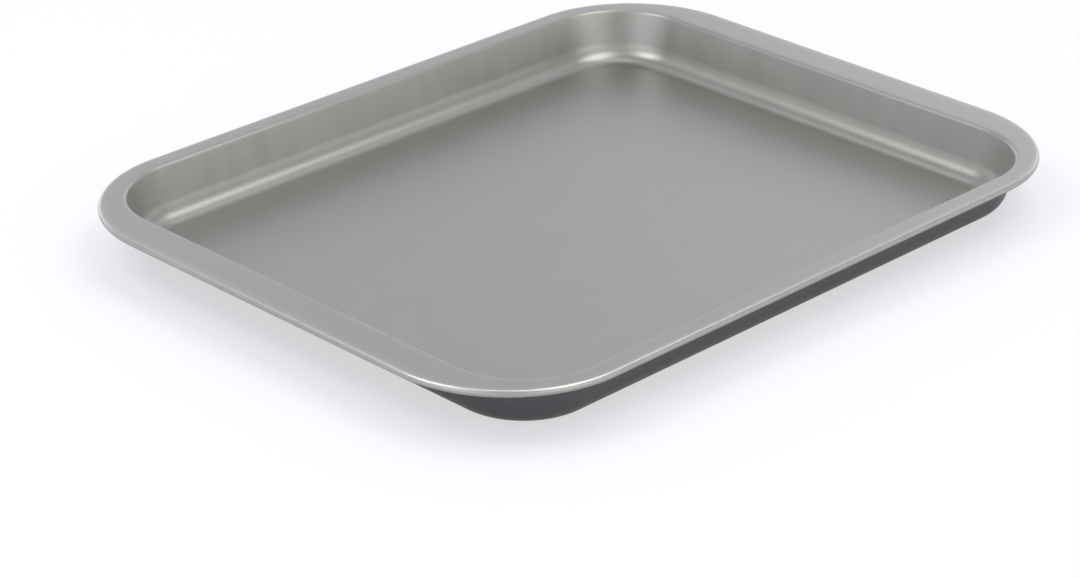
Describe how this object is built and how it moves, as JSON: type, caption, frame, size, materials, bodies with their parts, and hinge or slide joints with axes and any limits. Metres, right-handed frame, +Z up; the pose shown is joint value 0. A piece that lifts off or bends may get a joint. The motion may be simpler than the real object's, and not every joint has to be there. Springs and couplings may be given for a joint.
{
  "type": "jelly roll pan",
  "caption": "Shallow rectangular baking pan with rounded corners, sloping walls and a flat flange whose edge is curled over a wire, for thin sheet cakes and pastry.",
  "frame": {"origin": "centre of the rectangle that the pan stands on, at the height of its underside", "axes": "+X along the long side, +Y along the short side, +Z up out of the mouth"},
  "size_m": [0.38, 0.297, 0.0254],
  "materials": {
    "steel_sheet": "cold-rolled, satin",
    "release_coating": "metallic grey non-stick, satin",
    "outside_lacquer": "dark grey, satin",
    "steel_wire": "drawn, bright"
  },
  "bodies": {
    "root": {"steel_shell": "steel_sheet", "inner_coating": "release_coating", "outer_coating": "outside_lacquer", "rim_wire": "steel_wire"}
  },
  "joints": []
}
